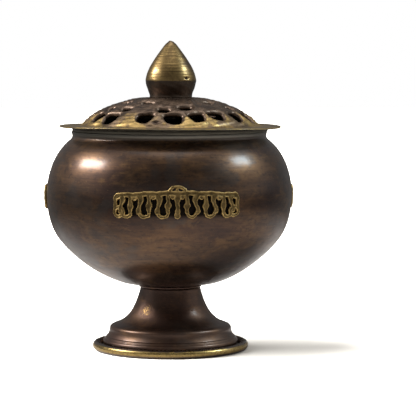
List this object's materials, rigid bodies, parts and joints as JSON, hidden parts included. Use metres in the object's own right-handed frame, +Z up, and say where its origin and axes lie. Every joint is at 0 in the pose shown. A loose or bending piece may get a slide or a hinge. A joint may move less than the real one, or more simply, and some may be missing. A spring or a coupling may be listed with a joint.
{
  "type": "thurible censer",
  "caption": "Footed incense burner: round bowl on a flared foot, removable charcoal cup, and a lift-off pierced lid with an onion finial.",
  "frame": {"origin": "on the censer's axis, at the surface it stands on", "axes": "+Z up along the axis to the finial's tip, -Y towards the front plaque"},
  "size_m": [0.0926, 0.0915, 0.114],
  "materials": {
    "bowl_patina": "dark coppery brown patina, semi-gloss",
    "cover_patina": "brown patina, rubbed to brass on the low webs",
    "polished_brass": "aged polished brass",
    "cast_brass": "olive cast brass with bright rubbed edges",
    "raw_brass": "dull spun brass",
    "fastener_steel": "plain"
  },
  "bodies": {
    "vessel": {"bowl": "bowl_patina", "foot": "bowl_patina", "base_ring": "polished_brass", "joint_collar": "bowl_patina", "centre_bolt": "fastener_steel", "bowl_washer": "fastener_steel", "foot_washer": "fastener_steel", "centre_nut": "fastener_steel", "plaque_front": "cast_brass", "plaque_right": "cast_brass", "plaque_left": "cast_brass"},
    "liner": {"charcoal_cup": "raw_brass"},
    "cover": {"pierced_cover": "cover_patina", "locating_ring": "raw_brass", "finial": "polished_brass", "finial_screw": "fastener_steel", "finial_washer": "fastener_steel"}
  },
  "joints": [
    {"name": "cup_lift", "type": "slide", "parent": "vessel", "child": "liner", "axis": [0, 0, 1], "range_m": [0, 0.04]},
    {"name": "lid_lift", "type": "slide", "parent": "liner", "child": "cover", "axis": [0, 0, 1], "range_m": [0, 0.05]}
  ]
}
